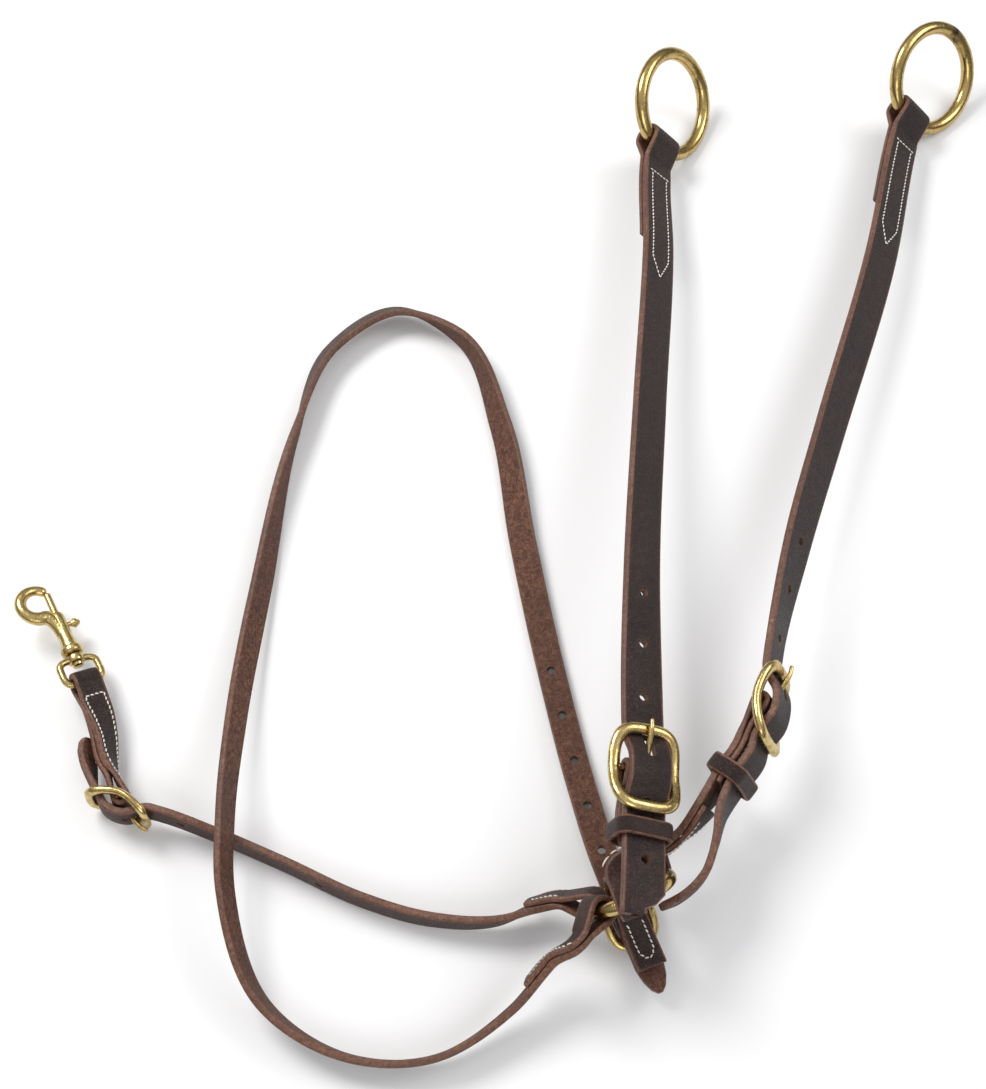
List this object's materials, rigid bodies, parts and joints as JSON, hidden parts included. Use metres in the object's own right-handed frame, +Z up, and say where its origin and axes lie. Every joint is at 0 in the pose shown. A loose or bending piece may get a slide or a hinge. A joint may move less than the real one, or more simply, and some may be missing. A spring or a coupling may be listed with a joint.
{
  "type": "riding martingale",
  "caption": "Leather running martingale with a rein ring on each fork strap, buckled neck loop, and a chest strap ending in a swivel bolt snap.",
  "frame": {"origin": "centre of the bounding box in plan, on the table that it lies on", "axes": "+Z up off the table; +Y towards the rein rings, -Y towards the bottom of the neck loop; +X to the right as laid out, so the snap is at -X"},
  "size_m": [0.47, 0.523, 0.064],
  "materials": {
    "harness_leather": "dark brown oiled grain, lighter red-brown flesh side and edges",
    "solid_brass": "polished, lightly tarnished",
    "spring_steel": "plain"
  },
  "bodies": {
    "straps": {"fork_strap_left": "harness_leather", "fork_strap_right": "harness_leather", "fork_billet_left": "harness_leather", "fork_billet_right": "harness_leather", "neck_strap": "harness_leather", "neck_chape": "harness_leather", "chest_strap": "harness_leather", "snap_tab": "harness_leather", "centre_ring": "solid_brass", "fork_buckle_left": "solid_brass", "fork_buckle_right": "solid_brass", "neck_buckle": "solid_brass", "chest_buckle": "solid_brass"},
    "rein_ring_left": {"rein_ring_left": "solid_brass"},
    "rein_ring_right": {"rein_ring_right": "solid_brass"},
    "fork_tongue_left": {"fork_tongue_left": "solid_brass"},
    "fork_tongue_right": {"fork_tongue_right": "solid_brass"},
    "neck_tongue": {"neck_tongue": "solid_brass"},
    "chest_tongue": {"chest_tongue": "solid_brass"},
    "fork_keeper_left": {"fork_keeper_left": "harness_leather"},
    "fork_keeper_right": {"fork_keeper_right": "harness_leather"},
    "snap_eye": {"snap_eye": "solid_brass"},
    "snap_body": {"snap_body": "solid_brass", "snap_spring": "spring_steel"},
    "snap_bolt": {"snap_bolt": "solid_brass"}
  },
  "joints": [
    {"name": "rein_ring_left_swing", "type": "hinge", "parent": "straps", "child": "rein_ring_left", "pos_m": [0.06615, 0.19794, 0.01954], "axis": [-0.6859, 0.1119, 0.719], "range_deg": [-70, 70]},
    {"name": "rein_ring_right_swing", "type": "hinge", "parent": "straps", "child": "rein_ring_right", "pos_m": [0.19715, 0.21834, 0.01644], "axis": [-0.7137, 0.2461, 0.6558], "range_deg": [-70, 60]},
    {"name": "fork_tongue_left_lift", "type": "hinge", "parent": "straps", "child": "fork_tongue_left", "pos_m": [0.04415, -0.14746, 0.05224], "axis": [0.9259, -0.0579, -0.3734], "range_deg": [0, 6]},
    {"name": "fork_tongue_right_lift", "type": "hinge", "parent": "straps", "child": "fork_tongue_right", "pos_m": [0.09905, -0.11456, 0.03784], "axis": [0.3865, -0.1347, -0.9124], "range_deg": [0, 6]},
    {"name": "neck_tongue_lift", "type": "hinge", "parent": "straps", "child": "neck_tongue", "pos_m": [0.03825, -0.19586, 0.00944], "axis": [-0.9326, -0.361, 0], "range_deg": [0, 5]},
    {"name": "chest_tongue_lift", "type": "hinge", "parent": "straps", "child": "chest_tongue", "pos_m": [-0.17995, -0.14816, 0.01244], "axis": [-0.0377, -0.0975, -0.9945], "range_deg": [0, 5]},
    {"name": "fork_keeper_left_slide", "type": "slide", "parent": "straps", "child": "fork_keeper_left", "axis": [-0.0491, -0.9928, 0.1097], "range_m": [-0.002, 0.004]},
    {"name": "fork_keeper_right_slide", "type": "slide", "parent": "straps", "child": "fork_keeper_right", "axis": [-0.6106, -0.774, -0.1679], "range_m": [-0.0015, 0.001]},
    {"name": "snap_eye_swing", "type": "hinge", "parent": "straps", "child": "snap_eye", "pos_m": [-0.20051, -0.09384, 0.01434], "axis": [0.8211, 0.4255, -0.3805], "range_deg": [-60, 60]},
    {"name": "snap_swivel", "type": "hinge", "parent": "snap_eye", "child": "snap_body", "pos_m": [-0.20612, -0.08301, 0.01434], "axis": [-0.46, 0.8879, 0], "continuous": true},
    {"name": "snap_bolt_slide", "type": "slide", "parent": "snap_body", "child": "snap_bolt", "axis": [-0.46, 0.8879, 0], "range_m": [-0.005, 0], "stiffness_N_per_m": 120, "springref_m": 0.003, "deforming": ["snap_spring"]}
  ]
}
